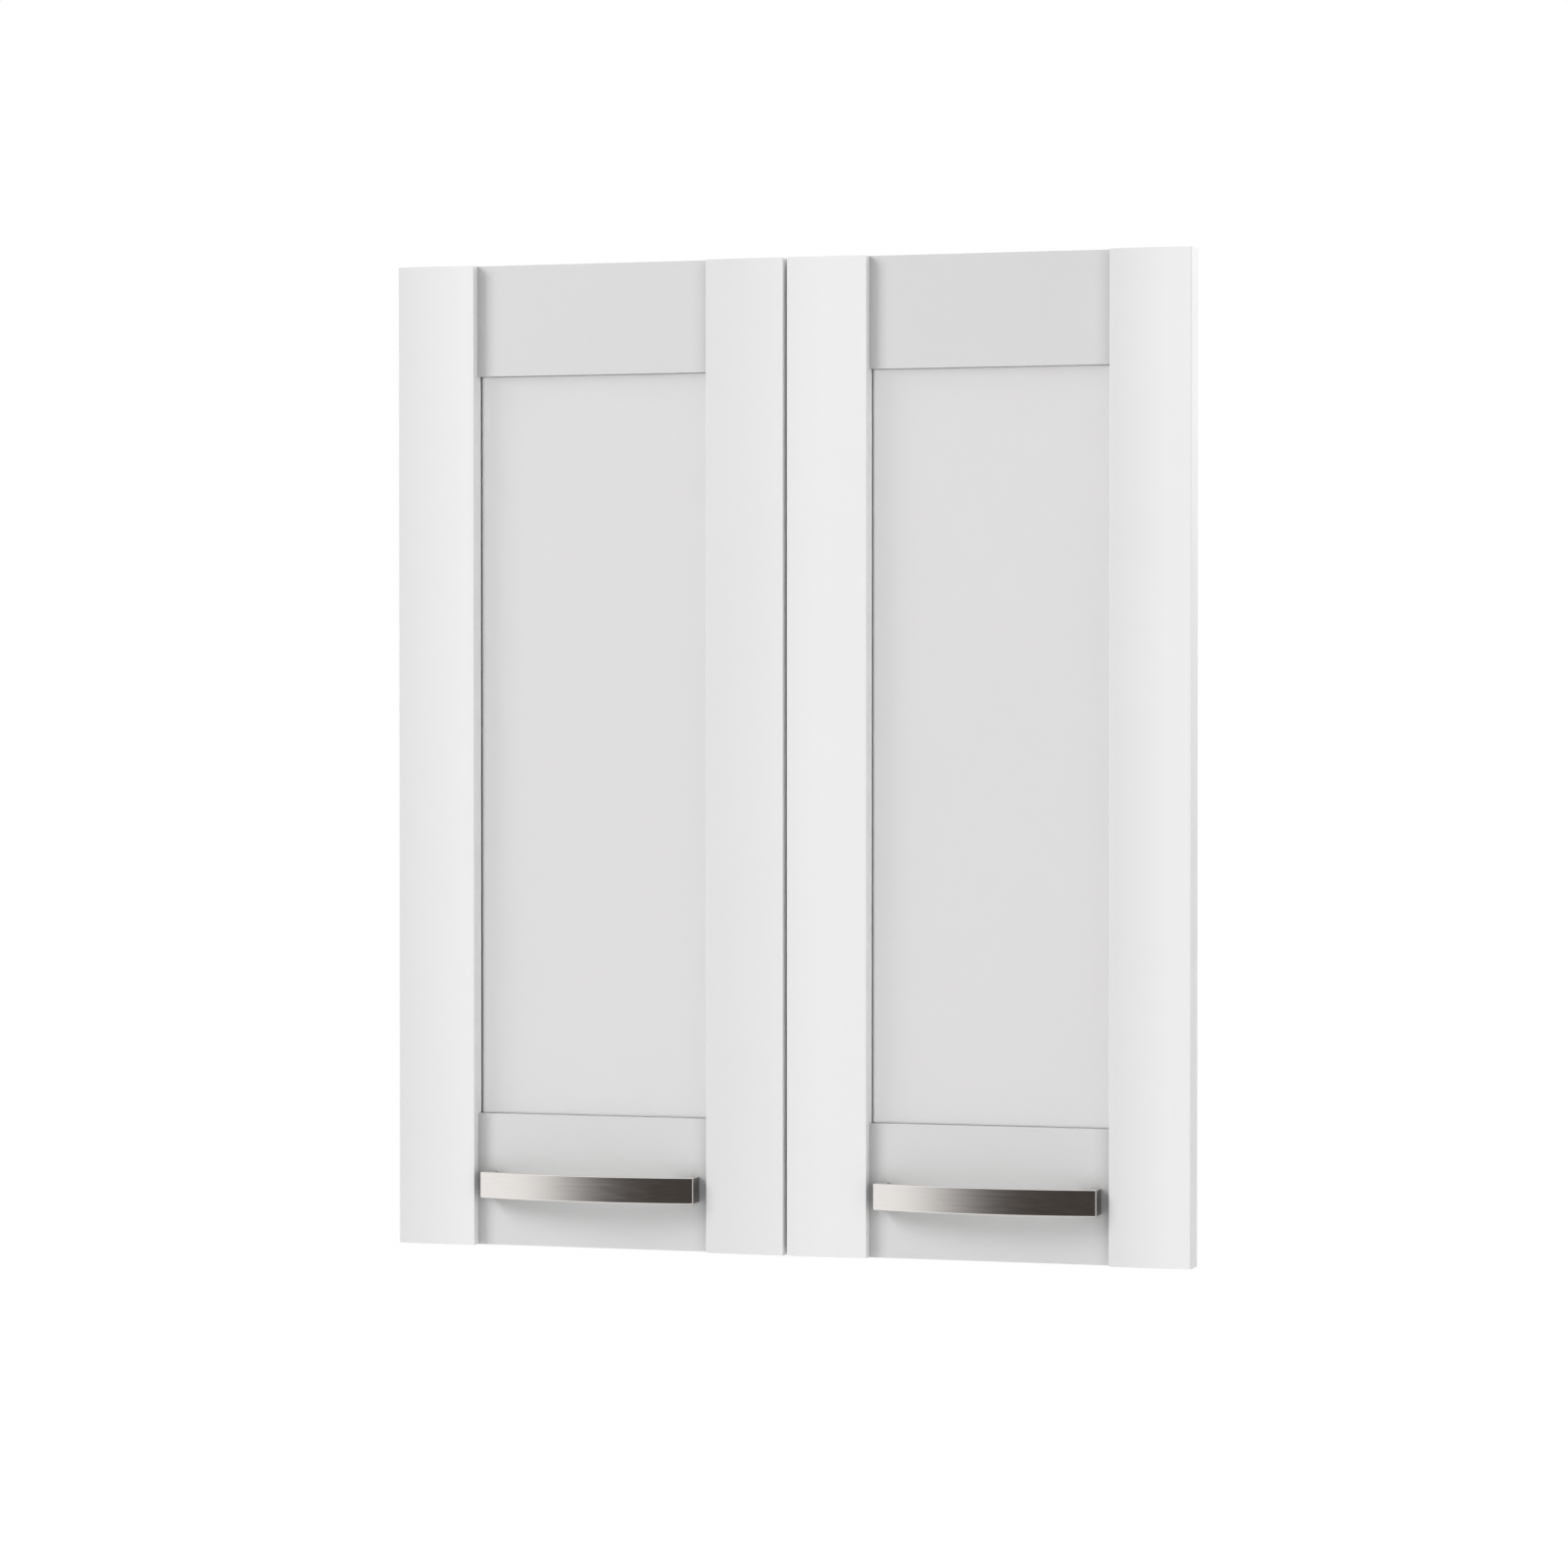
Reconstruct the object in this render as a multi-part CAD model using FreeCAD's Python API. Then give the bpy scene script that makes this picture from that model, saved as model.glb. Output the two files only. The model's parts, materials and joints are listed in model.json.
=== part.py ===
"""Pair of framed glass doors for a 60 cm wide, 72 cm high wall cabinet, with bow handles
and cup hinges. Units are millimetres. +X is right, +Y is into the cabinet, +Z is up.

Everything is drawn once, for the left door, and mirrored for the right one. Working
coordinates: X = 0 midway between the doors, Y = 0 at the crown of the stile faces,
Z = 0 at the bottom edge of the doors. save() moves each piece so that the origin is
the centre of the whole part's bounding box.
"""
import FreeCAD, Part
import math
import os

from FreeCAD import Vector as V

# ---- doors -------------------------------------------------------------------
CABINET_W = 600.0         # outside width of the cabinet that the pair covers
SIDE_REVEAL = 2.0         # cabinet side left showing beyond each door's outer edge
DOOR_H = 716.0            # height of each door
CENTRE_GAP = 3.0          # gap between the two doors
DOOR_T = 22.0             # thickness of a stile at its crown
STILE_W = 59.0            # width of every stile
HINGE_CROWN = 1.2         # fall of the hinge stile's face from its crown to its edges
MEETING_CROWN = 2.0       # fall of the meeting stile's face from the centre gap
STILE_EDGE_R = 0.6        # rounded upright edges of the stiles
RAIL_SETBACK = 9.0        # rail face behind the crown of the stiles
TOP_RAIL_H = 80.5
BOTTOM_RAIL_H = 96.0

# ---- glazing -----------------------------------------------------------------
GLASS_T = 4.0
GLASS_FACE = 16.0         # depth of the pane's face behind the crown of the stiles
GLASS_OVERLAP = 7.0       # how far the pane reaches behind the frame
GASKET_T = 0.8            # gasket between the rebate's ledge and the pane
GASKET_W = 5.0
REBATE_W = 12.0           # how far the rebate reaches behind the frame
BEAD_CLEAR = 0.2          # room round the beads
PIN_R = 0.8               # bead pins
PIN_GRIP = 2.2            # how far each pin goes into the frame beyond its bead
SIDE_PINS = 4             # pins in each upright bead
END_PINS = 2              # pins in each level bead

# ---- corner dowels -----------------------------------------------------------
DOWEL_R = 3.0
DOWEL_L = 40.0
DOWEL_CLEAR = 0.05
DOWEL_INSET = 22.0        # dowel centre from the rail's upper and lower edges

# ---- bow handle --------------------------------------------------------------
HANDLE_HOLES = 156.0      # distance between the two screw centres
HANDLE_LEG_W = 8.0
HANDLE_H = 19.0
HANDLE_Z = 45.0           # centre of the handle above the door's bottom edge
HANDLE_BAR_T = 4.5        # thickness of the bowed bar
HANDLE_STANDOFF = 15.0    # face of the bar's ends, out from the rail
HANDLE_BOW = 9.5          # further rise of the bar at its middle
HANDLE_EDGE_R = 0.8
SCREW_R = 2.0             # M4 handle screws
SCREW_HEAD_R = 4.0
SCREW_HEAD_T = 2.4
SCREW_GRIP = 9.0          # screw length inside the handle's leg
SCREW_CLEAR = 0.25        # room round the screw in the rail
THREAD_CLEAR = 0.03       # room between a fastener and the hole that holds it

# ---- the cabinet that the doors hang on -----------------------------------------
PANEL_T = 16.0            # side panel
CARCASS_GAP = 4.0         # between the doors' backs and the cabinet's front edges
BUMPER_R = 4.5
BUMPER_INSET = 8.0        # bumper centre from the free edge and from the end

# ---- cup hinges ------------------------------------------------------------------
# "In" is measured from the door's outer edge and "behind" from its back face.
HINGE_INSET = 100.0       # hinge centre from the top or bottom edge of the door
CUP_IN = 22.5             # cup centre
CUP_R = 17.5
CUP_WALL = 1.2
CUP_DEPTH = 12.5
CUP_FLOOR = 1.0
CUP_CLEAR = 0.05          # room round the cup in its bore
FLANGE_T = 1.5
FLANGE_W = 15.0
FLANGE_L = 60.0
FLANGE_RIM = 2.0          # flange ring round the cup
FLANGE_CORNER_R = 4.0
CUP_SCREW_PITCH = 48.0
CUP_SCREW_IN = 28.5
CUP_SCREW_R = 1.75
CUP_SCREW_HEAD_R = 3.4
CUP_SCREW_HEAD_T = 1.6
CUP_SCREW_L = 13.0
PIVOT_IN = 9.9            # hinge pin
PIVOT_BEHIND = -8.2
PIVOT_PIN_R = 1.25
PIVOT_PIN_SEAT = 0.26     # how far the pin's ends reach into the cup's wall
PIVOT_CLEAR = 0.06        # running clearance of the arm's eye on the pin
EYE_R = 2.6               # eye of the arm round the pin
NECK_HALF_W = 5.0         # half width of the arm's neck along the pin
NECK_T = 3.0              # thickness of the neck
NECK_FAR_IN = 35.0        # the neck's turn, furthest inward
NECK_LOW = -10.4          # the neck's floor side inside the cup
ARM_HALF_W = 8.4
ARM_WALL = 1.3
ARM_START = 6.5           # front end of the arm's channel, behind the door
ARM_END = 56.0
ARM_LOW = 3.2             # lower edge of the arm above the side panel
ARM_TOP = 13.0            # outer face of the arm above the side panel
PLATE_T = 2.5
PLATE_HOLE_SETBACK = 37.0 # hole line behind the cabinet's front edge
PLATE_HOLE_PITCH = 32.0
PLATE_HOLE_R = 2.6
PLATE_WING_W = 14.0
PLATE_WING_L = 48.0
PLATE_RAIL_H = 9.0        # height of the rail that carries the arm
PLATE_RAIL_CLEAR = 0.2    # between the rail and the arm's walls
PLATE_RAIL_START = 14.0
ADJUST_SCREW_R = 2.5
ADJUST_HEAD_R = 3.6
SIDE_SCREW_AT = 22.0      # screws along the arm, behind the door
DEPTH_SCREW_AT = 48.0
CAP_T = 0.9
CAP_DEPTH = 5.0
CAP_START = 27.0

# ---- places worked out from the sizes above -------------------------------------
DOOR_W = (CABINET_W - CENTRE_GAP) / 2 - SIDE_REVEAL
OUTER_X = -CENTRE_GAP / 2 - DOOR_W            # outer edge of the left door
INNER_X = -CENTRE_GAP / 2                     # its edge at the centre gap
SIGHT_X0 = OUTER_X + STILE_W                  # opening between the stiles
SIGHT_X1 = INNER_X - STILE_W
SIGHT_Z0 = BOTTOM_RAIL_H                      # opening between the rails
SIGHT_Z1 = DOOR_H - TOP_RAIL_H
DOOR_MID_X = (SIGHT_X0 + SIGHT_X1) / 2
LEDGE_Y = GLASS_FACE - GASKET_T               # bottom of the glazing rebate
PANE_BACK_Y = GLASS_FACE + GLASS_T
PIN_L = DOOR_T - LEDGE_Y + PIN_GRIP
BEAD_FOOT_W = REBATE_W - GLASS_OVERLAP - 2 * BEAD_CLEAR
HANDLE_L = HANDLE_HOLES + HANDLE_LEG_W
HANDLE_END_Y = RAIL_SETBACK - HANDLE_STANDOFF
HANDLE_FRONT_Y = HANDLE_END_Y - HANDLE_BOW
HINGE_Z = {"lower": HINGE_INSET, "upper": DOOR_H - HINGE_INSET}
CUP_CHORD = math.sqrt((CUP_R - CUP_WALL) ** 2 - (CUP_IN - PIVOT_IN) ** 2)
PIVOT_PIN_HALF = CUP_CHORD + PIVOT_PIN_SEAT   # half length of the hinge pin
PANEL_X = -CABINET_W / 2 + PANEL_T            # inner face of the left side panel
PANEL_IN = PANEL_X - OUTER_X                  # the same face, inward from the door's edge


# ---- helpers ---------------------------------------------------------------------
def box(x0, x1, y0, y1, z0, z1):
    """Block between two opposite corners, given as ranges."""
    return Part.makeBox(x1 - x0, y1 - y0, z1 - z0, V(x0, y0, z0))


def rod(radius, start, end):
    """Round bar between two points."""
    way = end.sub(start)
    return Part.makeCylinder(radius, way.Length, start, way)


def outline_face(edges):
    """Flat face inside a closed chain of edges."""
    return Part.Face(Part.Wire(edges))


def line(p, q):
    return Part.LineSegment(V(*p), V(*q)).toShape()


def arc(p, middle, q):
    return Part.Arc(V(*p), V(*middle), V(*q)).toShape()


def group(solids):
    """Separate solids that share one node."""
    return Part.makeCompound(solids)


# ---- frame -----------------------------------------------------------------------
def crown_depth(x, crown_x, reach, fall):
    """Depth of a crowned face at x: nothing at the crown, `fall` at `reach` from it."""
    radius = (reach ** 2 + fall ** 2) / (2 * fall)
    return radius - math.sqrt(radius ** 2 - (x - crown_x) ** 2)


def crowned_stile(x0, x1, crown_x, reach, fall):
    """Upright from x0 to x1 with a gently crowned, edge-rounded face."""
    mid = (x0 + x1) / 2
    y0 = crown_depth(x0, crown_x, reach, fall)
    y1 = crown_depth(x1, crown_x, reach, fall)
    y_mid = crown_depth(mid, crown_x, reach, fall)
    section = outline_face([
        arc((x0, y0, 0), (mid, y_mid, 0), (x1, y1, 0)),
        line((x1, y1, 0), (x1, DOOR_T, 0)),
        line((x1, DOOR_T, 0), (x0, DOOR_T, 0)),
        line((x0, DOOR_T, 0), (x0, y0, 0)),
    ])
    body = section.extrude(V(0, 0, DOOR_H))
    upright = [e for e in body.Edges if e.BoundBox.ZLength > DOOR_H / 2]
    return body.makeFillet(STILE_EDGE_R, upright)


def rebate():
    """Space cut behind the frame's inner edges for the pane, its gasket and beads."""
    return box(SIGHT_X0 - REBATE_W, SIGHT_X1 + REBATE_W, LEDGE_Y, DOOR_T + 1,
               SIGHT_Z0 - REBATE_W, SIGHT_Z1 + REBATE_W)


def dowels(radius, length):
    """Two dowels across each of the four joints between rails and stiles."""
    y = (RAIL_SETBACK + DOOR_T) / 2
    heights = [DOWEL_INSET, BOTTOM_RAIL_H - DOWEL_INSET,
               SIGHT_Z1 + DOWEL_INSET, DOOR_H - DOWEL_INSET]
    return [rod(radius, V(x - length / 2, y, z), V(x + length / 2, y, z))
            for x in (SIGHT_X0, SIGHT_X1) for z in heights]


def frame_cuts():
    """Everything that is cut out of the frame's members."""
    cuts = [rebate()]
    cuts += dowels(DOWEL_R + DOWEL_CLEAR, DOWEL_L + 2 * DOWEL_CLEAR)
    cuts += bead_pins(PIN_R + THREAD_CLEAR, PIN_L + THREAD_CLEAR)
    cuts += handle_screw_holes()
    for z in HINGE_Z.values():
        cuts += cup_bores(z)
    return cuts


def frame_members():
    cuts = frame_cuts()
    half = STILE_W / 2
    hinge = crowned_stile(OUTER_X, SIGHT_X0, OUTER_X + half, half, HINGE_CROWN)
    meeting = crowned_stile(SIGHT_X1, INNER_X, 0.0, -SIGHT_X1, MEETING_CROWN)
    top = box(SIGHT_X0, SIGHT_X1, RAIL_SETBACK, DOOR_T, SIGHT_Z1, DOOR_H)
    bottom = box(SIGHT_X0, SIGHT_X1, RAIL_SETBACK, DOOR_T, 0, SIGHT_Z0)
    return {
        "hinge_stile": hinge.cut(cuts),
        "meeting_stile": meeting.cut(cuts),
        "top_rail": top.cut(cuts),
        "bottom_rail": bottom.cut(cuts),
    }


# ---- glazing -----------------------------------------------------------------------
def glass_pane():
    over = GLASS_OVERLAP
    return box(SIGHT_X0 - over, SIGHT_X1 + over, GLASS_FACE, PANE_BACK_Y,
               SIGHT_Z0 - over, SIGHT_Z1 + over)


def glazing_gasket():
    """Four strips between the rebate's ledge and the pane, just behind the frame's edge."""
    near, far = BEAD_CLEAR, BEAD_CLEAR + GASKET_W
    strips = []
    for inner, outer in ((SIGHT_X0 - near, SIGHT_X0 - far), (SIGHT_X1 + near, SIGHT_X1 + far)):
        strips.append(box(min(inner, outer), max(inner, outer), LEDGE_Y, GLASS_FACE,
                          SIGHT_Z0 - far, SIGHT_Z1 + far))
    for inner, outer in ((SIGHT_Z0 - near, SIGHT_Z0 - far), (SIGHT_Z1 + near, SIGHT_Z1 + far)):
        strips.append(box(SIGHT_X0 - near, SIGHT_X1 + near, LEDGE_Y, GLASS_FACE,
                          min(inner, outer), max(inner, outer)))
    return group(strips)


def side_beads():
    """Upright beads: a foot beside the pane and a lip over its edge."""
    z0 = SIGHT_Z0 - REBATE_W + BEAD_CLEAR
    z1 = SIGHT_Z1 + REBATE_W - BEAD_CLEAR
    beads = []
    for edge, out in ((SIGHT_X0, -1), (SIGHT_X1, 1)):
        wall = edge + out * (REBATE_W - BEAD_CLEAR)
        foot = wall - out * BEAD_FOOT_W
        solid = box(min(wall, foot), max(wall, foot), LEDGE_Y, DOOR_T, z0, z1)
        lip = box(min(wall, edge), max(wall, edge), PANE_BACK_Y, DOOR_T, z0, z1)
        beads.append(solid.fuse(lip).removeSplitter())
    return beads


def end_beads():
    """Level beads, between the upright ones."""
    x0, x1 = SIGHT_X0 + BEAD_CLEAR, SIGHT_X1 - BEAD_CLEAR
    beads = []
    for edge, out in ((SIGHT_Z0, -1), (SIGHT_Z1, 1)):
        wall = edge + out * (REBATE_W - BEAD_CLEAR)
        foot = wall - out * BEAD_FOOT_W
        solid = box(x0, x1, LEDGE_Y, DOOR_T, min(wall, foot), max(wall, foot))
        lip = box(x0, x1, PANE_BACK_Y, DOOR_T, min(wall, edge), max(wall, edge))
        beads.append(solid.fuse(lip).removeSplitter())
    return beads


def spread(start, end, count):
    """Middles of `count` equal stretches between start and end."""
    return [start + (end - start) * (i + 0.5) / count for i in range(count)]


def bead_pins(radius, length):
    """Headless pins through the feet of the beads into the frame."""
    middle = REBATE_W - BEAD_CLEAR - BEAD_FOOT_W / 2
    places = [(x, z) for x in (SIGHT_X0 - middle, SIGHT_X1 + middle)
              for z in spread(SIGHT_Z0, SIGHT_Z1, SIDE_PINS)]
    places += [(x, z) for z in (SIGHT_Z0 - middle, SIGHT_Z1 + middle)
               for x in spread(SIGHT_X0, SIGHT_X1, END_PINS)]
    return [rod(radius, V(x, DOOR_T - length, z), V(x, DOOR_T, z)) for x, z in places]


def glazing():
    holes = bead_pins(PIN_R + THREAD_CLEAR, PIN_L + 1)
    return {
        "glass_pane": glass_pane(),
        "glazing_gasket": glazing_gasket(),
        "side_beads": group([b.cut(holes) for b in side_beads()]),
        "end_beads": group([b.cut(holes) for b in end_beads()]),
        "bead_pins": group(bead_pins(PIN_R, PIN_L)),
        "frame_dowels": group(dowels(DOWEL_R, DOWEL_L)),
    }


# ---- handle ------------------------------------------------------------------------
def handle_screw_places():
    return [V(DOOR_MID_X + side * HANDLE_HOLES / 2, DOOR_T, HANDLE_Z) for side in (-1, 1)]


def handle_screw_holes():
    reach = V(0, DOOR_T - RAIL_SETBACK, 0)
    return [rod(SCREW_R + SCREW_CLEAR, p.sub(reach), p) for p in handle_screw_places()]


def handle_screws():
    solids = []
    for p in handle_screw_places():
        tip = V(p.x, RAIL_SETBACK - SCREW_GRIP, p.z)
        head = rod(SCREW_HEAD_R, p, p.add(V(0, SCREW_HEAD_T, 0)))
        outer_rim = max(head.Edges, key=lambda e: e.BoundBox.YMax + e.BoundBox.YMin)
        head = head.makeFillet(SCREW_HEAD_T / 3, [outer_rim])
        solids.append(rod(SCREW_R, tip, p).fuse(head))
    return group(solids)


def bow_handle():
    """Flat bar, bowed outwards along one arc, with square legs down to the rail."""
    half = HANDLE_L / 2
    leg = half - HANDLE_LEG_W
    radius = (half ** 2 + HANDLE_BOW ** 2) / (2 * HANDLE_BOW)
    inner_radius = radius - HANDLE_BAR_T
    inner_y = HANDLE_FRONT_Y + radius - math.sqrt(inner_radius ** 2 - leg ** 2)
    x, z, rail = DOOR_MID_X, HANDLE_Z - HANDLE_H / 2, RAIL_SETBACK
    section = outline_face([
        line((x - half, rail, z), (x - half, HANDLE_END_Y, z)),
        arc((x - half, HANDLE_END_Y, z), (x, HANDLE_FRONT_Y, z), (x + half, HANDLE_END_Y, z)),
        line((x + half, HANDLE_END_Y, z), (x + half, rail, z)),
        line((x + half, rail, z), (x + leg, rail, z)),
        line((x + leg, rail, z), (x + leg, inner_y, z)),
        arc((x + leg, inner_y, z), (x, HANDLE_FRONT_Y + HANDLE_BAR_T, z), (x - leg, inner_y, z)),
        line((x - leg, inner_y, z), (x - leg, rail, z)),
        line((x - leg, rail, z), (x - half, rail, z)),
    ])
    bar = section.extrude(V(0, 0, HANDLE_H))
    clear_of_rail = [e for e in bar.Edges if e.BoundBox.YMin < rail - HANDLE_EDGE_R]
    bar = bar.makeFillet(HANDLE_EDGE_R, clear_of_rail)
    tapped = [rod(SCREW_R + THREAD_CLEAR, V(p.x, rail - SCREW_GRIP - 1, p.z), p)
              for p in handle_screw_places()]
    return bar.cut(tapped)


# ---- bumpers -----------------------------------------------------------------------
def door_bumpers():
    """Soft buttons that meet the cabinet's front edge when the door is shut."""
    solids = []
    for z in (BUMPER_INSET, DOOR_H - BUMPER_INSET):
        foot = V(INNER_X - BUMPER_INSET, DOOR_T, z)
        button = rod(BUMPER_R, foot, foot.add(V(0, CARCASS_GAP, 0)))
        rim = max(button.Edges, key=lambda e: e.BoundBox.YMax + e.BoundBox.YMin)
        solids.append(button.makeFillet(CARCASS_GAP / 2, [rim]))
    return group(solids)


# ---- hinges ------------------------------------------------------------------------
def at(inward, behind, z):
    """Point given from the door's outer edge and back face."""
    return V(OUTER_X + inward, DOOR_T + behind, z)


def hinge_box(in0, in1, behind0, behind1, z0, z1):
    low, high = at(in0, behind0, z0), at(in1, behind1, z1)
    return box(low.x, high.x, low.y, high.y, low.z, high.z)


def cup_bores(z):
    """Bore for the cup and pilot holes for its screws, in the hinge stile."""
    bore = rod(CUP_R + CUP_CLEAR, at(CUP_IN, -CUP_DEPTH, z), at(CUP_IN, 1, z))
    return [bore] + cup_screw_rods(z, CUP_SCREW_R + THREAD_CLEAR, THREAD_CLEAR)


def cup_screw_rods(z, radius, extra):
    tip = FLANGE_T - CUP_SCREW_L - extra
    return [rod(radius, at(CUP_SCREW_IN, tip, z + s * CUP_SCREW_PITCH / 2),
                at(CUP_SCREW_IN, FLANGE_T, z + s * CUP_SCREW_PITCH / 2)) for s in (-1, 1)]


def pivot_pin(z, radius, half):
    return rod(radius, at(PIVOT_IN, PIVOT_BEHIND, z - half), at(PIVOT_IN, PIVOT_BEHIND, z + half))


def hinge_cup(z):
    """Round cup with a flange on the door's back, open towards the cabinet."""
    body = rod(CUP_R, at(CUP_IN, -CUP_DEPTH, z), at(CUP_IN, 0, z))
    ring = rod(CUP_R + FLANGE_RIM, at(CUP_IN, 0, z), at(CUP_IN, FLANGE_T, z))
    wing = hinge_box(CUP_SCREW_IN - FLANGE_W / 2, CUP_SCREW_IN + FLANGE_W / 2, 0, FLANGE_T,
                     z - FLANGE_L / 2, z + FLANGE_L / 2)
    corners = [e for e in wing.Edges if e.BoundBox.YLength > FLANGE_T / 2]
    wing = wing.makeFillet(FLANGE_CORNER_R, corners)
    pocket = rod(CUP_R - CUP_WALL, at(CUP_IN, CUP_FLOOR - CUP_DEPTH, z), at(CUP_IN, FLANGE_T + 1, z))
    holes = cup_screw_rods(z, CUP_SCREW_R + THREAD_CLEAR, 0)
    holes.append(pivot_pin(z, PIVOT_PIN_R, PIVOT_PIN_HALF))
    return body.fuse([ring, wing]).cut([pocket] + holes).removeSplitter()


def cup_screws(z):
    heads = [rod(CUP_SCREW_HEAD_R, at(CUP_SCREW_IN, FLANGE_T, z + s * CUP_SCREW_PITCH / 2),
                 at(CUP_SCREW_IN, FLANGE_T + CUP_SCREW_HEAD_T, z + s * CUP_SCREW_PITCH / 2))
             for s in (-1, 1)]
    return [s.fuse(h) for s, h in zip(cup_screw_rods(z, CUP_SCREW_R, 0), heads)]


def hinge_arm(z):
    """Channel on the mounting plate, with a neck that curls into the cup round to the pin."""
    panel = PANEL_IN
    top = panel + ARM_TOP
    walls = [hinge_box(panel + ARM_LOW, top, ARM_START, ARM_END, z + a, z + b)
             for a, b in ((-ARM_HALF_W, ARM_WALL - ARM_HALF_W), (ARM_HALF_W - ARM_WALL, ARM_HALF_W))]
    web = hinge_box(top - ARM_WALL, top, ARM_START, ARM_END, z - ARM_HALF_W, z + ARM_HALF_W)
    half, low = NECK_HALF_W, NECK_LOW
    shoulder = hinge_box(top - ARM_WALL, NECK_FAR_IN, ARM_START, ARM_START + NECK_T, z - half, z + half)
    drop = hinge_box(NECK_FAR_IN - NECK_T, NECK_FAR_IN, low, ARM_START + NECK_T, z - half, z + half)
    reach = hinge_box(PIVOT_IN, NECK_FAR_IN, low, low + NECK_T, z - half, z + half)
    eye = pivot_pin(z, EYE_R, half)
    hole = pivot_pin(z, PIVOT_PIN_R + PIVOT_CLEAR, half + 1)
    arm = web.fuse(walls + [shoulder, drop, reach, eye]).removeSplitter()
    return arm.cut([hole] + [adjust_screw_rod(z, y, ADJUST_SCREW_R) for y in
                             (SIDE_SCREW_AT, DEPTH_SCREW_AT)])


def adjust_screw_rod(z, behind, radius):
    """Shank of an adjusting screw, through the arm's web into the plate's rail."""
    return rod(radius, at(PANEL_IN + PLATE_T, behind, z), at(PANEL_IN + ARM_TOP, behind, z))


def adjust_screw(z, behind):
    top = PANEL_IN + ARM_TOP
    head = rod(ADJUST_HEAD_R, at(top - ARM_WALL - 1, behind, z), at(top - ARM_WALL, behind, z))
    return adjust_screw_rod(z, behind, ADJUST_SCREW_R - THREAD_CLEAR).fuse(head)


def mounting_plate(z):
    """Wing plate with two screw holes and a rail that carries the arm."""
    panel = PANEL_IN
    line_at = CARCASS_GAP + PLATE_HOLE_SETBACK
    wing = hinge_box(panel, panel + PLATE_T, line_at - PLATE_WING_W / 2, line_at + PLATE_WING_W / 2,
                     z - PLATE_WING_L / 2, z + PLATE_WING_L / 2)
    corners = [e for e in wing.Edges if e.BoundBox.XLength > PLATE_T / 2]
    wing = wing.makeFillet(FLANGE_CORNER_R, corners)
    half = ARM_HALF_W - ARM_WALL - PLATE_RAIL_CLEAR
    rail = hinge_box(panel, panel + PLATE_RAIL_H, PLATE_RAIL_START, ARM_END, z - half, z + half)
    holes = [rod(PLATE_HOLE_R, at(panel - 1, line_at, z + s * PLATE_HOLE_PITCH / 2),
                 at(panel + PLATE_T + 1, line_at, z + s * PLATE_HOLE_PITCH / 2)) for s in (-1, 1)]
    seats = [adjust_screw_rod(z, y, ADJUST_SCREW_R) for y in (SIDE_SCREW_AT, DEPTH_SCREW_AT)]
    return wing.fuse(rail).cut(holes + seats).removeSplitter()


def arm_cap(z):
    """Thin cover that clips over the rear of the arm."""
    top = PANEL_IN + ARM_TOP
    outer = hinge_box(top - CAP_DEPTH, top + CAP_T, CAP_START, ARM_END + CAP_T,
                      z - ARM_HALF_W - CAP_T, z + ARM_HALF_W + CAP_T)
    inner = hinge_box(top - CAP_DEPTH - 1, top, CAP_START - 1, ARM_END,
                      z - ARM_HALF_W, z + ARM_HALF_W)
    return outer.cut(inner)


def hinges():
    pieces = {}
    for level, z in HINGE_Z.items():
        pieces[level + "_hinge_cup"] = hinge_cup(z)
        pieces[level + "_hinge_arm"] = hinge_arm(z)
        pieces[level + "_mounting_plate"] = mounting_plate(z)
        pieces[level + "_arm_cap"] = arm_cap(z)
    heights = HINGE_Z.values()
    pieces["hinge_pins"] = group([pivot_pin(z, PIVOT_PIN_R, PIVOT_PIN_HALF) for z in heights])
    pieces["cup_screws"] = group([s for z in heights for s in cup_screws(z)])
    pieces["side_adjusting_screws"] = group([adjust_screw(z, SIDE_SCREW_AT) for z in heights])
    pieces["depth_adjusting_screws"] = group([adjust_screw(z, DEPTH_SCREW_AT) for z in heights])
    return pieces


# ---- the two doors -------------------------------------------------------------------
def left_door():
    pieces = frame_members()
    pieces.update(glazing())
    pieces["bow_handle"] = bow_handle()
    pieces["handle_screws"] = handle_screws()
    pieces["door_bumpers"] = door_bumpers()
    pieces.update(hinges())
    return pieces


def save(name, shape):
    """Write one node, moved so that the origin is the centre of the whole part."""
    back_y = DOOR_T + ARM_END + CAP_T
    shape.translate(V(0, -(HANDLE_FRONT_Y + back_y) / 2, -DOOR_H / 2))
    shape.exportStep("parts/" + name + ".step")
    print(name, len(shape.Solids), round(shape.Volume), shape.isValid())


os.makedirs("parts", exist_ok=True)
for node, piece in left_door().items():
    save("right_" + node, piece.mirror(V(0, 0, 0), V(1, 0, 0)))
    save("left_" + node, piece)
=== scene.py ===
# %% [markdown]
# A pair of framed cabinet doors with satin glass, bowed steel handles and cup hinges. The CAD
# model fixes every size and place. This file gives each piece its finish, and models again the
# few pieces whose small detail is worth more than the plain solid: the handles and the screws.

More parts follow.
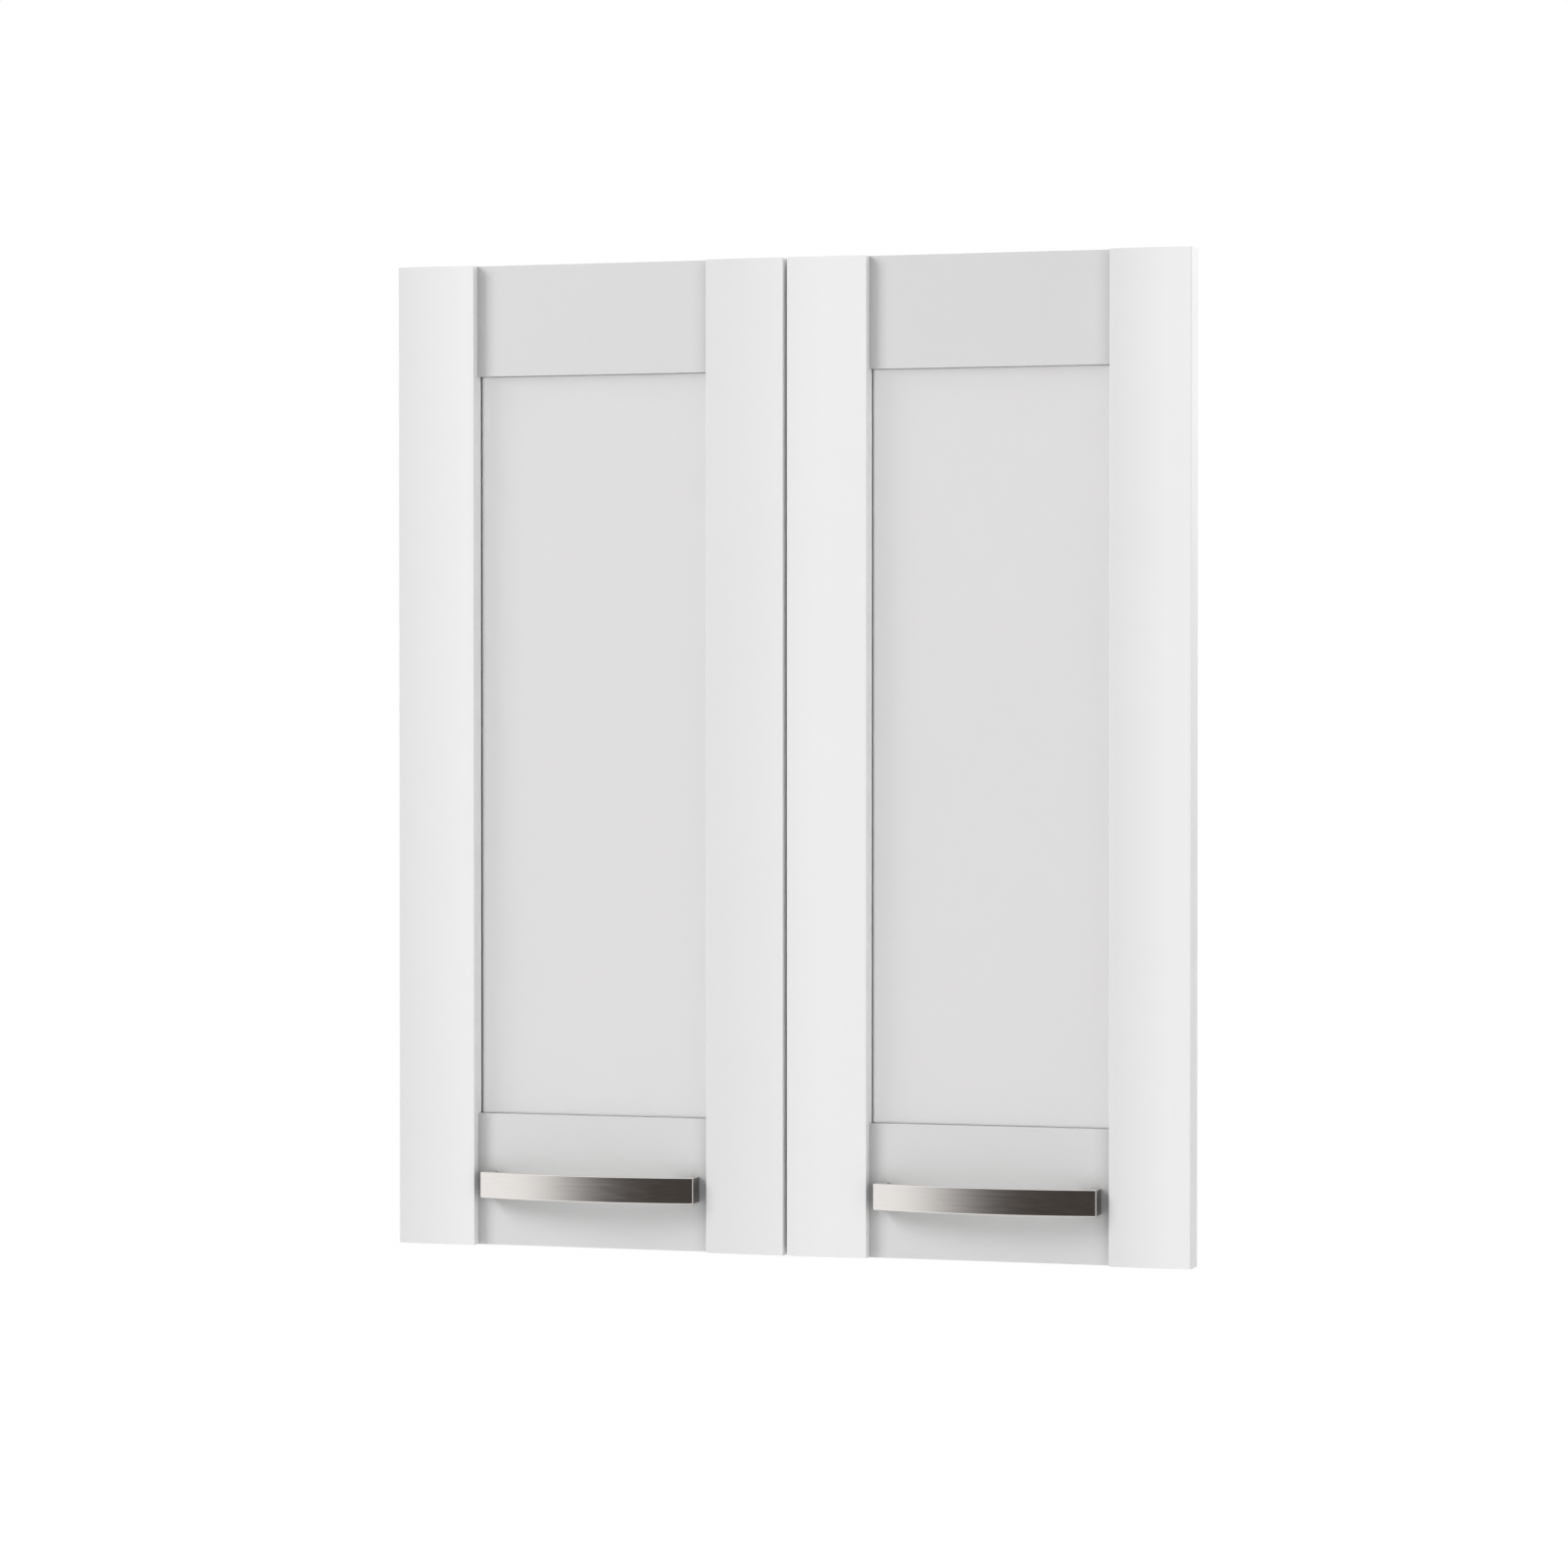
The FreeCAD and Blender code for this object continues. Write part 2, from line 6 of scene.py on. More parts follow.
# %% Load the doors as a fixed frame
import bmesh
import bpy
import json
import math
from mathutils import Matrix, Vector


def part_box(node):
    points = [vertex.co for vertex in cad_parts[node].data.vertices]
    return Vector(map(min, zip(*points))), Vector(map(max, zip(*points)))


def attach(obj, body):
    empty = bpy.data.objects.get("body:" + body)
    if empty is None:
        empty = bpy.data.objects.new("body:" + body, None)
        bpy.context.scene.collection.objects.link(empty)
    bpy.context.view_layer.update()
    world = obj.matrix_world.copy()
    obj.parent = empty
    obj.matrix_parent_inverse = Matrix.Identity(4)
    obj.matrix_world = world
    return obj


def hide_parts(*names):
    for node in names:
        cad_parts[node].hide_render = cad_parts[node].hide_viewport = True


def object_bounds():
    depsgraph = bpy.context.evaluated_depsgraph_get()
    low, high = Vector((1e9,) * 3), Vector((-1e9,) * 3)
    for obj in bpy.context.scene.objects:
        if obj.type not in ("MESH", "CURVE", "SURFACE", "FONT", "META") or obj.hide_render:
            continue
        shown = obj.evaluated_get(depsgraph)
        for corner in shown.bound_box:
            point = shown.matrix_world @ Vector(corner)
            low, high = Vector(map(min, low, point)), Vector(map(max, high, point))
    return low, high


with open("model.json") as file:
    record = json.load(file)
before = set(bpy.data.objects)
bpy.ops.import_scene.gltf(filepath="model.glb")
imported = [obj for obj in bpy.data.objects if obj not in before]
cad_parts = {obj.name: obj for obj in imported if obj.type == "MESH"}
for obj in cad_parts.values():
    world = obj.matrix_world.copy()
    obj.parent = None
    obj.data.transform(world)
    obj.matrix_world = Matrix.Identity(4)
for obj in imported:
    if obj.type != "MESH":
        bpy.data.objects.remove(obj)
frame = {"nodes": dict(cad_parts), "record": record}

MM = 0.001
CAD_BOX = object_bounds()
SLOT_OF = {row["node"]: row["material_slot"] for row in frame["record"]["subparts"]}

# %% [markdown]
# The camera looks at the doors from the right and a touch from above, with a long lens, as in a
# furniture catalogue. It stands almost level, so that the uprights stay nearly upright.

# %% Camera
CAMERA_PLACE = (1.1363, -3.5776, 0.0429)    # metres
CAMERA_YAW = 17.778                         # degrees, turned left from facing the doors squarely
CAMERA_DROP = 0.955                         # degrees below level
CAMERA_LENS = 119.25                        # mm, on a sensor 36 mm wide
SENSOR_WIDTH = 36.0

camera = bpy.data.objects.new("camera", bpy.data.cameras.new("camera"))
camera.data.lens = CAMERA_LENS
camera.data.sensor_width = SENSOR_WIDTH
camera.location = CAMERA_PLACE
camera.rotation_euler = (math.radians(90 - CAMERA_DROP), 0, math.radians(CAMERA_YAW))
bpy.context.scene.collection.objects.link(camera)
bpy.context.scene.camera = camera
print("camera at", CAMERA_PLACE)

# %% [markdown]
# Node trees are wired from code. Three short helpers keep that readable: one adds a node with its
# settings and values, one joins sockets in pairs, and one opens a group with named sockets.

# %% Helpers for node trees
def add(tree, kind, values=None, **settings):
    """A node of one kind, with settings such as its operation and values for its inputs."""
    node = tree.nodes.new(kind)
    for name, value in settings.items():
        setattr(node, name, value)
    for name, value in (values or {}).items():
        node.inputs[name].default_value = value
    return node


def wire(tree, *pairs):
    """Join each output to the input beside it."""
    for output, socket in pairs:
        tree.links.new(output, socket)


def open_group(name, inputs, outputs, kind="ShaderNodeTree"):
    """A new node group with its named sockets, and its two end nodes."""
    tree = bpy.data.node_groups.new(name, kind)
    for label, socket_type, value in inputs:
        socket = tree.interface.new_socket(name=label, in_out="INPUT", socket_type=socket_type)
        if value is not None:
            socket.default_value = value
    for label, socket_type in outputs:
        tree.interface.new_socket(name=label, in_out="OUTPUT", socket_type=socket_type)
    start = tree.nodes.new("NodeGroupInput")
    end = tree.nodes.new("NodeGroupOutput")
    return tree, start, end


# %% [markdown]
# Sprayed lacquer is never quite flat. It has a faint orange peel, a few mm from crest to crest,
# and its gloss drifts a little over a hand's width. One group makes both, for every painted,
# moulded or soft piece, and each material gives it its own colour and strength.

# %% Shader group: sprayed lacquer
VARIED_SURFACE = [
    ("Color", "NodeSocketColor"), ("Roughness", "NodeSocketFloat"), ("Height", "NodeSocketFloat")]


def lacquer_group():
    """Orange peel as height, and slow drifts of tone and gloss."""
    # The Tone input carries painted shade on the stiles and rails, and stays 1 elsewhere.
    tree, start, end = open_group(
        "sprayed_lacquer",
        [("Color", "NodeSocketColor", (0.8, 0.8, 0.8, 1)), ("Tone", "NodeSocketFloat", 1.0),
         ("Drift", "NodeSocketFloat", 0.01), ("Peel Scale", "NodeSocketFloat", 350.0),
         ("Roughness", "NodeSocketFloat", 0.4), ("Roughness Drift", "NodeSocketFloat", 0.05)],
        VARIED_SURFACE)
    place = add(tree, "ShaderNodeTexCoord")
    cloud = add(tree, "ShaderNodeTexNoise", {"Scale": 9.0, "Detail": 3.0, "Roughness": 0.5})
    peel = add(tree, "ShaderNodeTexNoise", {"Detail": 2.0, "Roughness": 0.45})
    centred = add(tree, "ShaderNodeMath", {1: 0.5}, operation="SUBTRACT")
    tone = add(tree, "ShaderNodeMath", operation="MULTIPLY_ADD")
    tinted = add(tree, "ShaderNodeVectorMath", operation="SCALE")
    rough = add(tree, "ShaderNodeMath", operation="MULTIPLY_ADD")
    wire(tree,
         (place.outputs["Object"], cloud.inputs["Vector"]),
         (place.outputs["Object"], peel.inputs["Vector"]),
         (start.outputs["Peel Scale"], peel.inputs["Scale"]),
         (cloud.outputs["Fac"], centred.inputs[0]),
         (centred.outputs[0], tone.inputs[0]), (start.outputs["Drift"], tone.inputs[1]),
         (start.outputs["Tone"], tone.inputs[2]),
         (start.outputs["Color"], tinted.inputs[0]), (tone.outputs[0], tinted.inputs["Scale"]),
         (centred.outputs[0], rough.inputs[0]), (start.outputs["Roughness Drift"], rough.inputs[1]),
         (start.outputs["Roughness"], rough.inputs[2]), (tinted.outputs[0], end.inputs["Color"]),
         (rough.outputs[0], end.inputs["Roughness"]), (peel.outputs["Fac"], end.inputs["Height"]))
    return tree


LACQUER = lacquer_group()
print("group", LACQUER.name)

# %% [markdown]
# Brushed steel is covered with hair lines, all one way. They are noise that is squeezed across
# the brushing and stretched along it. The lines change colour, gloss and height together, and
# that smears a reflection across the lines, as on the real bar.

# %% Shader group: brushed lines
def brushed_group():
    """Hair lines that change colour, gloss and height together."""
    tree, start, end = open_group(
        "brushed_lines",
        [("Color", "NodeSocketColor", (0.7, 0.7, 0.7, 1)),
         ("Stretch", "NodeSocketVector", (1, 1, 1)),
         ("Contrast", "NodeSocketFloat", 0.1), ("Roughness", "NodeSocketFloat", 0.3),
         ("Roughness Spread", "NodeSocketFloat", 0.1)],
        VARIED_SURFACE)
    place = add(tree, "ShaderNodeTexCoord")
    squeezed = add(tree, "ShaderNodeVectorMath", operation="MULTIPLY")
    fine = add(tree, "ShaderNodeTexNoise", {"Scale": 1.0, "Detail": 4.0, "Roughness": 0.6})
    broad = add(tree, "ShaderNodeTexNoise", {"Scale": 0.22, "Detail": 1.0})
    both = add(tree, "ShaderNodeMath", operation="ADD")
    centred = add(tree, "ShaderNodeMath", {1: 1.0}, operation="SUBTRACT")
    tone = add(tree, "ShaderNodeMath", {2: 1.0}, operation="MULTIPLY_ADD")
    tinted = add(tree, "ShaderNodeVectorMath", operation="SCALE")
    rough = add(tree, "ShaderNodeMath", operation="MULTIPLY_ADD")
    wire(tree,
         (place.outputs["Object"], squeezed.inputs[0]),
         (start.outputs["Stretch"], squeezed.inputs[1]),
         (squeezed.outputs[0], fine.inputs["Vector"]),
         (squeezed.outputs[0], broad.inputs["Vector"]),
         (fine.outputs["Fac"], both.inputs[0]), (broad.outputs["Fac"], both.inputs[1]),
         (both.outputs[0], centred.inputs[0]), (centred.outputs[0], tone.inputs[0]),
         (start.outputs["Contrast"], tone.inputs[1]), (start.outputs["Color"], tinted.inputs[0]),
         (tone.outputs[0], tinted.inputs["Scale"]), (centred.outputs[0], rough.inputs[0]),
         (start.outputs["Roughness Spread"], rough.inputs[1]),
         (start.outputs["Roughness"], rough.inputs[2]),
         (tinted.outputs[0], end.inputs["Color"]), (rough.outputs[0], end.inputs["Roughness"]),
         (fine.outputs["Fac"], end.inputs["Height"]))
    return tree


BRUSHED = brushed_group()
print("group", BRUSHED.name)

# %% [markdown]
# Nearly every finish is made of the same three parts: a surface shader, one of the groups that
# varies it, and a bump that turns the group's height into a tilt of the surface.

# %% Helpers for finishes
FINISH = {}


def base_material(name):
    """A material with just its surface shader, and that shader."""
    material = bpy.data.materials.new(name)
    material.use_nodes = True
    return material, material.node_tree.nodes["Principled BSDF"]


def grouped_material(name, group, values, bump, metallic=0.0, **surface):
    """A material whose colour, roughness and bump come from one group."""
    material, shader = base_material(name)
    tree = material.node_tree
    varied = add(tree, "ShaderNodeGroup", node_tree=group)
    for label, value in values.items():
        varied.inputs[label].default_value = value
    relief = add(tree, "ShaderNodeBump", {"Strength": 1.0, "Distance": bump})
    wire(tree,
         (varied.outputs["Color"], shader.inputs["Base Color"]),
         (varied.outputs["Roughness"], shader.inputs["Roughness"]),
         (varied.outputs["Height"], relief.inputs["Height"]),
         (relief.outputs["Normal"], shader.inputs["Normal"]))
    shader.inputs["Metallic"].default_value = metallic
    for label, value in surface.items():
        shader.inputs[label.replace("_", " ")].default_value = value
    return material


def sprayed(name, colour, peel_scale, roughness, drift, roughness_drift, bump, **surface):
    """Keep a finish for a lacquered, moulded or soft piece."""
    FINISH[name] = grouped_material(
        name, LACQUER,
        {"Color": colour + (1,), "Drift": drift, "Peel Scale": peel_scale,
         "Roughness": roughness, "Roughness Drift": roughness_drift},
        bump, **surface)


def brushed(name, colour, stretch, contrast, roughness, spread, bump, metallic=1.0):
    """Keep a finish with lines: brushed or rolled metal, or the grain of wood."""
    FINISH[name] = grouped_material(
        name, BRUSHED,
        {"Color": colour + (1,), "Stretch": stretch, "Contrast": contrast,
         "Roughness": roughness, "Roughness Spread": spread},
        bump, metallic)

# %% [markdown]
# The frame is board with a matt white lacquer. The rails are a shade greyer than the stiles. The
# lacquer reflects little, so the shape is read from soft shading and from the shadow in the step
# between stile and rail.

# %% White lacquer on stiles and rails
STILE_WHITE = (0.86, 0.86, 0.86)
RAIL_WHITE = (0.742, 0.745, 0.743)
for slot_name, colour in (("stile_white", STILE_WHITE), ("rail_white", RAIL_WHITE)):
    sprayed(slot_name, colour, peel_scale=420.0, roughness=0.42, drift=0.02,
            roughness_drift=0.12, bump=0.02 * MM, Specular_IOR_Level=0.25)
print("white lacquer on", sorted(FINISH))

# %% [markdown]
# Two small effects go on top, each as a tone that multiplies the lacquer's colour, and both are
# painted shade. Across every stile the colour goes from a shade darker at its left to a shade
# lighter at its right, as painted shading of a crowned face lit from the right, and over the
# meeting pair it does so once, as if the two were one moulding. In the step beside a stile the
# rail is darker, painted shade in the corner, which ambient occlusion over a few mm finds.

# %% Painted shading across the stiles, and painted shade in the rails' corners
STILE_PAINTED_SHADING = (    # mm from the middle of the pair, and the painted shading there
    (-298, 0.905), (-255, 1.042), (-245, 1.073), (-60.5, 0.932), (-45, 0.942), (28, 1.075),
    (60.5, 1.082), (239, 0.945), (244, 0.945), (282, 1.098), (298, 1.112))
# Painted shade in the rails' corners: its reach, strength and samples.
CORNER_SHADE_REACH = 14 * MM
CORNER_SHADE_STRENGTH = 0.42
CORNER_SHADE_SAMPLES = 16


def paint_shading_across_stiles(material):
    """Paint shading into the lacquer's colour with a ramp over the doors' width."""
    tree = material.node_tree
    reach = CAD_BOX[1].x
    brightest = max(tone for _, tone in STILE_PAINTED_SHADING)
    place = add(tree, "ShaderNodeTexCoord")
    axes = add(tree, "ShaderNodeSeparateXYZ")
    share = add(tree, "ShaderNodeMapRange", {"From Min": -reach, "From Max": reach})
    # Each stile is darker at its left and lighter at its right: painted shading.
    ramp = add(tree, "ShaderNodeValToRGB")
    level = add(tree, "ShaderNodeMath", {1: brightest}, operation="MULTIPLY")
    stops = ramp.color_ramp.elements
    while len(stops) < len(STILE_PAINTED_SHADING):
        stops.new(0.5)
    for stop, (x, tone) in zip(stops, STILE_PAINTED_SHADING):
        stop.position = (x * MM + reach) / (2 * reach)
        stop.color = (tone / brightest,) * 3 + (1,)
    wire(tree,
         (place.outputs["Object"], axes.inputs[0]), (axes.outputs["X"], share.inputs["Value"]),
         (share.outputs["Result"], ramp.inputs["Fac"]), (ramp.outputs["Color"], level.inputs[0]),
         (level.outputs[0], tree.nodes["Group"].inputs["Tone"]))


def paint_corner_shade(material):
    """Paint shade into the lacquer's colour where a point is hemmed in, as in the step beside a
    stile.
    """
    tree = material.node_tree
    # Ambient occlusion darkens the rails' colour in the corners: painted shade.
    openness = add(tree, "ShaderNodeAmbientOcclusion", {"Distance": CORNER_SHADE_REACH},
                   samples=CORNER_SHADE_SAMPLES)
    tone = add(tree, "ShaderNodeMath", {1: CORNER_SHADE_STRENGTH}, operation="POWER")
    wire(tree,
         (openness.outputs["AO"], tone.inputs[0]),
         (tone.outputs[0], tree.nodes["Group"].inputs["Tone"]))


paint_shading_across_stiles(FINISH["stile_white"])
paint_corner_shade(FINISH["rail_white"])
print("stiles toned at", len(STILE_PAINTED_SHADING), "places, rails duller within", CORNER_SHADE_REACH, "m")

# %% [markdown]
# Satin glass has one etched face. It scatters what passes through it, so a pane looks like a pale
# even sheet with a slight warm cast. Part of the light goes through, part scatters back, and a
# very fine frost keeps the gloss soft.

# %% Satin glass
GLASS_COLOUR = (0.824, 0.814, 0.819, 1)
GLASS_THROUGH = 0.85
GLASS_GLOSS = 0.25
GLASS_ROUGHNESS = (0.46, 0.56)
FROST_DEPTH = 0.005 * MM


def satin_glass():
    """Pale glass that scatters, with a fine frost on its surface."""
    material, shader = base_material("satin_glass")
    tree = material.node_tree
    place = add(tree, "ShaderNodeTexCoord")
    frost = add(tree, "ShaderNodeTexNoise", {"Scale": 2500.0, "Detail": 2.0})
    cloud = add(tree, "ShaderNodeTexNoise", {"Scale": 6.0, "Detail": 2.0})
    smoothest, roughest = GLASS_ROUGHNESS
    rough = add(tree, "ShaderNodeMapRange", {"To Min": smoothest, "To Max": roughest})
    relief = add(tree, "ShaderNodeBump", {"Strength": 1.0, "Distance": FROST_DEPTH})
    wire(tree,
         (place.outputs["Object"], frost.inputs["Vector"]),
         (place.outputs["Object"], cloud.inputs["Vector"]),
         (cloud.outputs["Fac"], rough.inputs["Value"]),
         (rough.outputs["Result"], shader.inputs["Roughness"]),
         (frost.outputs["Fac"], relief.inputs["Height"]),
         (relief.outputs["Normal"], shader.inputs["Normal"]))
    shader.inputs["Base Color"].default_value = GLASS_COLOUR
    shader.inputs["Transmission Weight"].default_value = GLASS_THROUGH
    shader.inputs["IOR"].default_value = 1.5
    shader.inputs["Specular IOR Level"].default_value = GLASS_GLOSS
    return material


FINISH["satin_glass"] = satin_glass()
print("glass made")

# %% [markdown]
# Metal is four finishes of one idea. The handle is brushed along its length. The hinges and their
# caps are nickel plated pressings with a faint rolled grain, and the screws are zinc plated.

# %% Metals
brushed("handle_steel", (0.825, 0.79, 0.762), stretch=(14.0, 2600.0, 2600.0), contrast=0.1,
        roughness=0.22, spread=0.1, bump=0.012 * MM)
brushed("hinge_nickel", (0.70, 0.69, 0.67), stretch=(700.0, 60.0, 700.0), contrast=0.07,
        roughness=0.24, spread=0.1, bump=0.0012 * MM)
brushed("cap_nickel", (0.72, 0.71, 0.69), stretch=(900.0, 40.0, 900.0), contrast=0.08,
        roughness=0.2, spread=0.08, bump=0.0012 * MM)
brushed("fastener_steel", (0.66, 0.67, 0.7), stretch=(500.0, 500.0, 500.0), contrast=0.14,
        roughness=0.3, spread=0.15, bump=0.002 * MM)
print("metals made")

# %% [markdown]
# The handles' end faces get painted shade: the colour is turned down where the surface faces
# along the bar, so the ends read dark as they do in shade.

# %% Painted shade on the handles' end faces
# the share of the colour left on the end faces: painted shade
END_FACE_PAINTED_SHADE = 0.33
PAINTED_END_FACING = (0.86, 0.98)    # how squarely a face looks along the bar: none of the painted shade, all of it


def paint_shade_on_end_faces(material):
    """Paint shade on faces that look along the bar, by turning their colour down."""
    tree = material.node_tree
    place = add(tree, "ShaderNodeTexCoord")
    axes = add(tree, "ShaderNodeSeparateXYZ")
    along = add(tree, "ShaderNodeMath", operation="ABSOLUTE")
    untouched, full = PAINTED_END_FACING
    tone = add(tree, "ShaderNodeMapRange",
               {"From Min": untouched, "From Max": full, "To Min": 1.0, "To Max": END_FACE_PAINTED_SHADE})
    toned = add(tree, "ShaderNodeVectorMath", operation="SCALE")
    wire(tree,
         (place.outputs["Normal"], axes.inputs[0]), (axes.outputs["X"], along.inputs[0]),
         (along.outputs[0], tone.inputs["Value"]), (tone.outputs["Result"], toned.inputs["Scale"]),
         (tree.nodes["Group"].outputs["Color"], toned.inputs[0]),
         (toned.outputs[0], tree.nodes["Principled BSDF"].inputs["Base Color"]))


paint_shade_on_end_faces(FINISH["handle_steel"])
# prints the painted shade on the end faces
print("cut ends at", END_FACE_PAINTED_SHADE)

# %% [markdown]
# The last finishes are small. The beads and the gasket round a pane are translucent white. The
# bumpers are a clear soft plastic, and the dowels are plain beech, whose grain is the same
# squeezed noise as the brushing, much stronger.

# %% Beads, gasket, bumpers and dowels
TRIM_WHITE = (0.9, 0.9, 0.89)
TRIM_THROUGH = 0.6
sprayed("bead_plastic", TRIM_WHITE, peel_scale=900.0, roughness=0.5, drift=0.03,
        roughness_drift=0.1, bump=0.01 * MM, Transmission_Weight=TRIM_THROUGH)
sprayed("gasket_rubber", TRIM_WHITE, peel_scale=1500.0, roughness=0.75, drift=0.04,
        roughness_drift=0.1, bump=0.01 * MM, Transmission_Weight=TRIM_THROUGH)
sprayed("bumper_rubber", (0.72, 0.74, 0.75), peel_scale=1800.0, roughness=0.3, drift=0.04,
        roughness_drift=0.1, bump=0.01 * MM, Subsurface_Weight=0.3, Subsurface_Scale=2 * MM)
brushed("dowel_beech", (0.6, 0.42, 0.26), stretch=(40.0, 1400.0, 1400.0), contrast=0.35,
        roughness=0.6, spread=0.2, bump=0.04 * MM, metallic=0.0)

for node_name, node_object in frame["nodes"].items():
    node_object.data.materials.clear()
    node_object.data.materials.append(FINISH[SLOT_OF[node_name]])
print(len(FINISH), "finishes on", len(frame["nodes"]), "nodes")

# %% [markdown]
# The handles and the screws are made again here, because their small detail is worth more than
# the plain solid. Each kind is a Geometry Nodes tree. A helper runs a tree once with its sizes,
# keeps the result as a plain mesh, and takes the modifier away. Another rounds a piece's edges.

# %% Helpers for pieces made by rule
DOUBLES_WITHIN = 0.001 * MM
SHARP_DEGREES = 30


def close_up(mesh):
    """Merge doubles, turn every face outwards and keep edges sharp past an angle."""
    shell = bmesh.new()
    shell.from_mesh(mesh)
    bmesh.ops.remove_doubles(shell, verts=shell.verts, dist=DOUBLES_WITHIN)
    bmesh.ops.recalc_face_normals(shell, faces=shell.faces)
    shell.to_mesh(mesh)
    shell.free()
    mesh.shade_smooth()
    mesh.set_sharp_from_angle(angle=math.radians(SHARP_DEGREES))


def made_by(tree, name, points, values):
    """A piece that a Geometry Nodes tree makes from points and named sizes."""
    mesh = bpy.data.meshes.new(name)
    mesh.from_pydata(points, [], [])
    piece = bpy.data.objects.new(name, mesh)
    bpy.context.scene.collection.objects.link(piece)
    modifier = piece.modifiers.new("rule", "NODES")
    modifier.node_group = tree
    for socket in tree.interface.items_tree:
        if socket.name in values:
            modifier[socket.identifier] = values[socket.name]
    bpy.context.view_layer.update()
    result = piece.evaluated_get(bpy.context.evaluated_depsgraph_get())
    made = bpy.data.meshes.new_from_object(result)
    piece.modifiers.remove(modifier)
    piece.data = made
    close_up(made)
    print(name, len(made.polygons), "faces")
    return piece


def round_edges(piece, width, segments, past_degrees):
    """Bevel the edges that turn by more than an angle."""
    edge = piece.modifiers.new("edge", "BEVEL")
    edge.width = width
    edge.segments = segments
    edge.limit_method = "ANGLE"
    edge.angle_limit = math.radians(past_degrees)
    edge.harden_normals = True


def settle(piece, body, node):
    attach(piece, body)
    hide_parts(node)


# %% [markdown]
# The handle is one flat steel bar. Seen from above, its front is a long arc, its back is an arc
# inside that one, and short square legs go down to the rail. The tree draws this outline as two
# arcs and six straight lines, joins them, fills the outline and lifts it to the bar's height. Its
# sizes are named inputs, so a longer or flatter handle is only other numbers. The bow is smooth
# here, where the plain solid has facets that would show in the reflection.

# %% Geometry Nodes: bow handle
BOW_STEPS = 64


def bow_handle_tree():
    """The outline of the bar and its legs, filled and lifted to the bar's height."""
    tree, start, end = open_group(
        "bow_handle",
        [("Half Length", "NodeSocketFloat", 80 * MM), ("Half Clear", "NodeSocketFloat", 70 * MM),
         ("Standoff", "NodeSocketFloat", 15 * MM), ("Front", "NodeSocketFloat", 25 * MM),
         ("Inner Standoff", "NodeSocketFloat", 11 * MM),
         ("Inner Front", "NodeSocketFloat", 20 * MM), ("Height", "NodeSocketFloat", 20 * MM),
         ("Foot", "NodeSocketVector", (0, 0, 0)), ("Steps", "NodeSocketInt", BOW_STEPS),
         ("Finish", "NodeSocketMaterial", None)],
        [("Geometry", "NodeSocketGeometry")], "GeometryNodeTree")

    def corner(x_name, x_sign, out_name):
        """A corner of the outline: along the bar, and out from the rail."""
        spot = add(tree, "ShaderNodeCombineXYZ")
        for name, sign, socket in ((x_name, x_sign, "X"), (out_name, -1, "Y")):
            if name:
                scaled = add(tree, "ShaderNodeMath", {1: sign}, operation="MULTIPLY")
                wire(tree, (start.outputs[name], scaled.inputs[0]),
                     (scaled.outputs[0], spot.inputs[socket]))
        return spot.outputs[0]

    def straight(a, b):
        """A straight run between two corners."""
        run = add(tree, "GeometryNodeCurvePrimitiveLine")
        wire(tree, (a, run.inputs["Start"]), (b, run.inputs["End"]))
        return run.outputs["Curve"]

    def bowed(a, middle, b):
        """An arc through three corners."""
        run = add(tree, "GeometryNodeCurveArc", mode="POINTS")
        wire(tree, (start.outputs["Steps"], run.inputs["Resolution"]), (a, run.inputs["Start"]),
             (middle, run.inputs["Middle"]), (b, run.inputs["End"]))
        return run.outputs["Curve"]

    runs = [bowed(corner("Half Length", -1, "Standoff"), corner(None, 0, "Front"),
                  corner("Half Length", 1, "Standoff")),
            bowed(corner("Half Clear", -1, "Inner Standoff"), corner(None, 0, "Inner Front"),
                  corner("Half Clear", 1, "Inner Standoff"))]
    for sign in (-1, 1):
        outer_foot = corner("Half Length", sign, None)
        inner_foot = corner("Half Clear", sign, None)
        runs.append(straight(corner("Half Length", sign, "Standoff"), outer_foot))
        runs.append(straight(outer_foot, inner_foot))
        runs.append(straight(inner_foot, corner("Half Clear", sign, "Inner Standoff")))
    joined = add(tree, "GeometryNodeJoinGeometry")
    for run in runs:
        wire(tree, (run, joined.inputs[0]))
    edges = add(tree, "GeometryNodeCurveToMesh")
    welded = add(tree, "GeometryNodeMergeByDistance", {"Distance": 0.01 * MM})
    outline = add(tree, "GeometryNodeMeshToCurve")
    sheet = add(tree, "GeometryNodeFillCurve", mode="NGONS")
    up = add(tree, "ShaderNodeCombineXYZ", {"Z": 1.0})
    lifted = add(tree, "GeometryNodeExtrudeMesh", {"Individual": False})
    shell = add(tree, "GeometryNodeJoinGeometry")
    placed = add(tree, "GeometryNodeTransform")
    real = add(tree, "GeometryNodeRealizeInstances")
    finished = add(tree, "GeometryNodeSetMaterial")
    wire(tree,
         (joined.outputs[0], edges.inputs["Curve"]), (edges.outputs[0], welded.inputs[0]),
         (welded.outputs[0], outline.inputs[0]), (outline.outputs[0], sheet.inputs[0]),
         (sheet.outputs[0], lifted.inputs["Mesh"]), (up.outputs[0], lifted.inputs["Offset"]),
         (start.outputs["Height"], lifted.inputs["Offset Scale"]),
         (sheet.outputs[0], shell.inputs[0]), (lifted.outputs["Mesh"], shell.inputs[0]),
         (shell.outputs[0], placed.inputs["Geometry"]),
         (start.outputs["Foot"], placed.inputs["Translation"]),
         (placed.outputs[0], real.inputs[0]), (real.outputs[0], finished.inputs["Geometry"]),
         (start.outputs["Finish"], finished.inputs["Material"]),
         (finished.outputs[0], end.inputs[0]))
    return tree


BOW_HANDLE = bow_handle_tree()
print("tree", BOW_HANDLE.name, len(BOW_HANDLE.nodes), "nodes")

